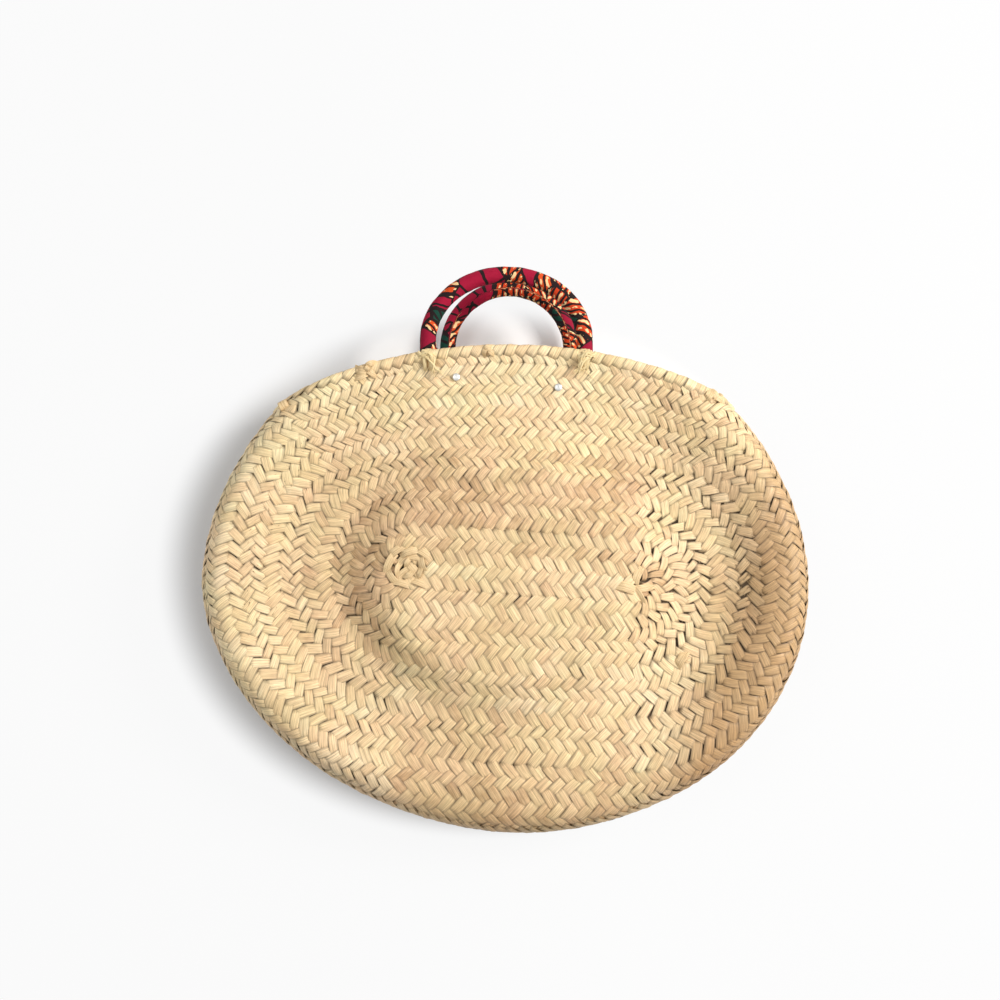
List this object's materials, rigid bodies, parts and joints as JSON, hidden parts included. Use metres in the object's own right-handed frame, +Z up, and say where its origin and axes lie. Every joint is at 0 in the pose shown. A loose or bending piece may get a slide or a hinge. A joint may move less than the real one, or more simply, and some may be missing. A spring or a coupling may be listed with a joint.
{
  "type": "straw tote bag",
  "caption": "Oval straw tote of coiled palm-leaf braid lying on its back, with an open mouth and short cloth-covered rope handles that swing at the rim.",
  "frame": {"origin": "on the resting plane, under the middle of the oval, on the flat underside of the back panel", "axes": "+X across the width of the bag, +Y from the bottom edge to the mouth and handles, +Z up, out of the front panel"},
  "size_m": [0.461, 0.4278, 0.0795],
  "materials": {
    "straw": "matte dried palm leaf",
    "raffia": "matte dried fibre",
    "printed_cloth": "printed cotton",
    "rope": "natural rope",
    "rivet_metal": "satin"
  },
  "bodies": {
    "bag_body": {"front_panel": "straw", "back_panel": "straw", "side_band": "straw", "front_rim": "straw", "back_rim": "straw", "front_lacing_cord": "straw", "back_lacing_cord": "straw", "left_corner_tie": "raffia", "right_corner_tie": "raffia", "front_left_lashing": "raffia", "front_left_tail": "printed_cloth", "front_left_rivet": "rivet_metal", "front_left_burr": "rivet_metal", "front_right_lashing": "raffia", "front_right_tail": "printed_cloth", "front_right_rivet": "rivet_metal", "front_right_burr": "rivet_metal", "back_left_lashing": "raffia", "back_left_tail": "printed_cloth", "back_left_rivet": "rivet_metal", "back_left_burr": "rivet_metal", "back_right_lashing": "raffia", "back_right_tail": "printed_cloth", "back_right_rivet": "rivet_metal", "back_right_burr": "rivet_metal"},
    "front_handle": {"front_handle_sleeve": "printed_cloth", "front_handle_core": "rope"},
    "back_handle": {"back_handle_sleeve": "printed_cloth", "back_handle_core": "rope"}
  },
  "joints": [
    {"name": "front_handle_swing", "type": "hinge", "parent": "bag_body", "child": "front_handle", "pos_m": [0.0015, 0.18273, 0.06407], "axis": [1, 0, 0], "range_deg": [-21, 60]},
    {"name": "back_handle_swing", "type": "hinge", "parent": "bag_body", "child": "back_handle", "pos_m": [0.0015, 0.18393, 0.0141], "axis": [1, 0, 0], "range_deg": [-60, 21]}
  ]
}
